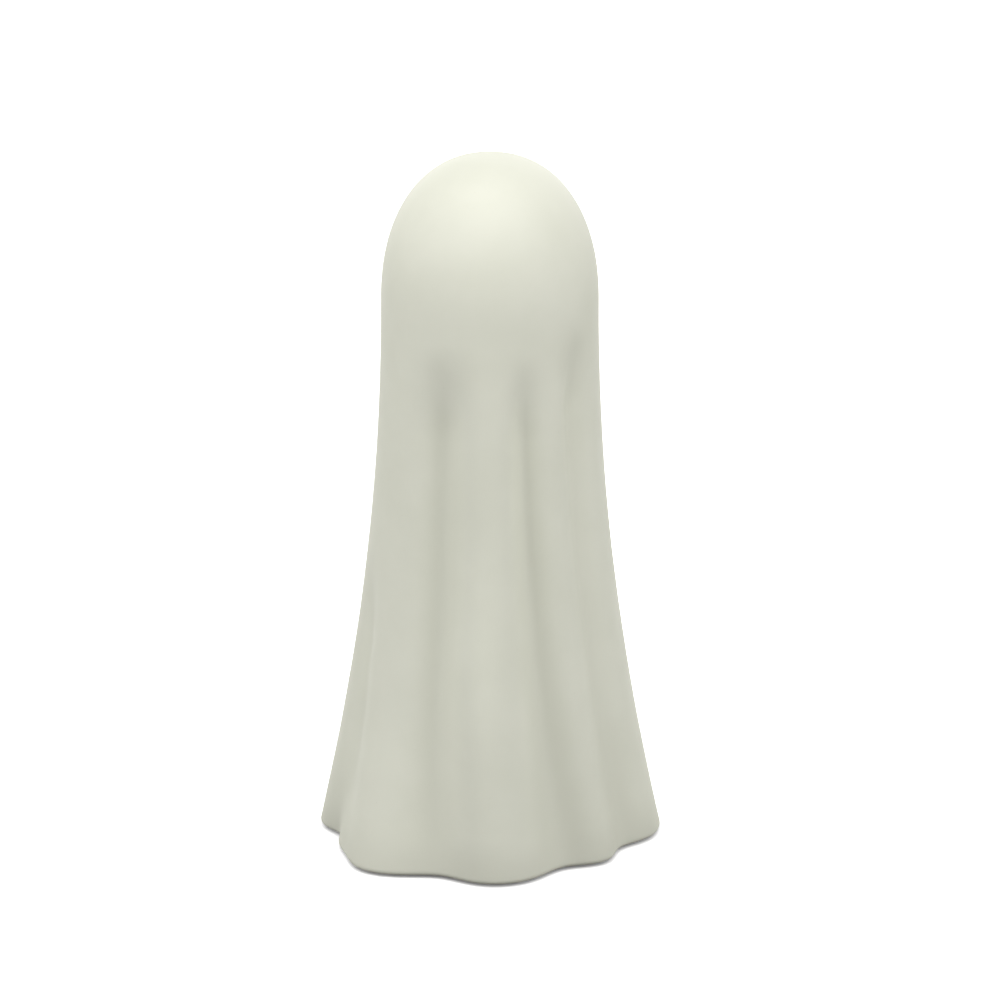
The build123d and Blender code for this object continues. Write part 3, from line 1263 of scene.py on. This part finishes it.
@dataclass(frozen=True)
class Studio:
    """White table-top studio: soft lamps, a pale floor and the camera."""

    lamps: tuple[Lamp, ...] = (
        Lamp("left_softbox", 60.0, 10.0, 4.5),
        Lamp("right_softbox", -60.0, 10.0, 5.5),
        Lamp("left_overhead", 45.0, 58.0, 1.26, size=0.75, distance=0.45),
        Lamp("right_overhead", -45.0, 58.0, 0.78, size=0.75, distance=0.45),
        Lamp("left_rear_fill", 160.0, 20.0, 3.6),
        Lamp("right_rear_fill", -160.0, 20.0, 3.6),
    )
    target: tuple[float, float, float] = (-0.6 * MM, 0.0, 101.5 * MM)
    camera_distance: float = 1.2
    camera_elevation: float = 16.5  # degrees
    focal_pixels: float = 4200.0
    sensor: float = 36.0  # millimetres
    surround: float = 0.25  # light from all round
    floor_half: float = 3.0
    floor_seen: Colour = (0.95, 0.95, 0.95)  # floor that the camera sees
    floor_bounce: Colour = (0.08, 0.08, 0.078)  # floor that sends light up to the figure
    floor_roughness: float = 0.9
    floor_glow: Range = (0.8, 0.9)  # near and far off, so that the floor looks white
    glow_reach: Range = (0.07, 0.25)  # distances between which the glow grows
    contact: float = 2.5 * MM  # how close to the figure the floor stays in its shadow

    def aim(self, piece: bpy.types.Object, azimuth: float, elevation: float, distance: float) -> None:
        """Place a lamp or camera round the target and turn it there.

        Args:
            piece: The lamp or camera.
            azimuth: Degrees from the camera's side, towards the left of the picture.
            elevation: Degrees above the table.
            distance: Distance from the target.
        """
        turn, rise = radians(azimuth), radians(elevation)
        away = Vector((sin(turn) * cos(rise), cos(turn) * cos(rise), sin(rise)))
        piece.location = Vector(self.target) + away * distance
        piece.rotation_euler = (-away).to_track_quat("-Z", "Y").to_euler()

    def hang_lamps(self) -> None:
        """Make the lamps."""
        for lamp in self.lamps:
            light = bpy.data.lights.new(lamp.name, "AREA")
            light.shape = "DISK"
            light.size = lamp.size
            light.energy = lamp.power
            piece = placed(lamp.name, light)
            piece.visible_camera = False
            self.aim(piece, lamp.azimuth, lamp.elevation, lamp.distance)

    def seen(self, graph: Graph) -> Wire:
        """Tell rays that show a surface from rays that bring light.

        Args:
            graph: The tree of the floor or the surround.

        Returns:
            1 for rays from the camera, in a reflection or through glass, 0 for light.
        """
        path = graph.node("ShaderNodeLightPath").outputs
        sight = Wire(graph, path["Is Camera Ray"])
        for other in ("Is Glossy Ray", "Is Transmission Ray"):
            sight = graph.math("MAXIMUM", sight, Wire(graph, path[other]))
        return sight

    def lay_floor(self) -> None:
        """Make the floor."""
        half = self.floor_half
        mesh = bpy.data.meshes.new("floor")
        corners = [(-half, -half, 0), (half, -half, 0), (half, half, 0), (-half, half, 0)]
        mesh.from_pydata(corners, [], [(0, 1, 2, 3)])
        graph = Surface("pale_floor")
        seen = self.seen(graph)
        feeds = {"Base Color": graph.mix(seen, self.floor_bounce, self.floor_seen)}
        feeds["Roughness"] = self.floor_roughness
        away = graph.vector("LENGTH", graph.place, output="Value")
        glow = graph.span(graph.ease(away, *self.glow_reach), *self.floor_glow)
        clear = graph.wire("ShaderNodeAmbientOcclusion", {"Distance": self.contact}, "AO")
        feeds |= {"Emission Color": WHITE, "Emission Strength": seen * glow * clear}
        mesh.materials.append(graph.dressed(feeds))
        placed("floor", mesh)

    def light_surround(self) -> None:
        """Make a white world that lights the figure softly."""
        world = bpy.data.worlds.new("white_surround")
        world.use_nodes = True
        graph = Graph(world.node_tree)
        strength = self.seen(graph) * (1.0 - self.surround) + self.surround
        background = world.node_tree.nodes["Background"]
        graph.feed(background.inputs["Color"], WHITE)
        graph.feed(background.inputs["Strength"], strength)
        bpy.context.scene.world = world

    def set_camera(self) -> None:
        """Make the camera at the photograph's angle."""
        camera = bpy.data.cameras.new("camera")
        camera.sensor_width = self.sensor
        camera.lens = self.focal_pixels / IMAGE_SIDE * self.sensor
        viewpoint = placed("camera", camera)
        self.aim(viewpoint, 0.0, self.camera_elevation, self.camera_distance)
        bpy.context.scene.camera = viewpoint

    def build(self) -> None:
        """Make the whole studio."""
        self.hang_lamps()
        self.lay_floor()
        self.light_surround()
        self.set_camera()
        bpy.context.scene.view_settings.view_transform = "Standard"


def note_sizes() -> None:
    """Bring the scene's view layer up to date.
    """
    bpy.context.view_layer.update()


def main() -> None:
    """Build the figure piece by piece, then the studio round it."""
    logging.basicConfig(level=logging.INFO, format="%(name)s: %(message)s")
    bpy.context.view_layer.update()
    shell_low, shell_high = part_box("ghost_shell")
    slab_low, slab_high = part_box("base_slab")
    rule = DrapeRule(top=shell_high[2], hem=shell_low[2])
    feet = [FeltFoot(node, slab_low[2]) for node in sorted(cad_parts) if node.startswith("felt_foot")]
    eyes = [GlazedEye(rule, node) for node in ("eye_left", "eye_right")]

    bisque = BisqueFinish(bare_level=rule.hem + BARE_RIM).material()
    shell = GhostShell(rule, ledge=slab_high[2]).build([eye.socket() for eye in eyes], bisque)
    hand_over(shell, "ghost_shell")
    slab = FloorSlab(rule).build([foot.seat() for foot in feet], BareClayFinish().material())
    hand_over(slab, "base_slab")
    glaze = BlackGlazeFinish().material()
    for eye in eyes:
        hand_over(eye.build(glaze), eye.node)
    felt = FeltFinish().material()
    for seed, foot in enumerate(feet, start=1):
        hand_over(foot.build(seed, felt), foot.node)

    Studio().build()
    note_sizes()


if __name__ == "__main__":
    main()
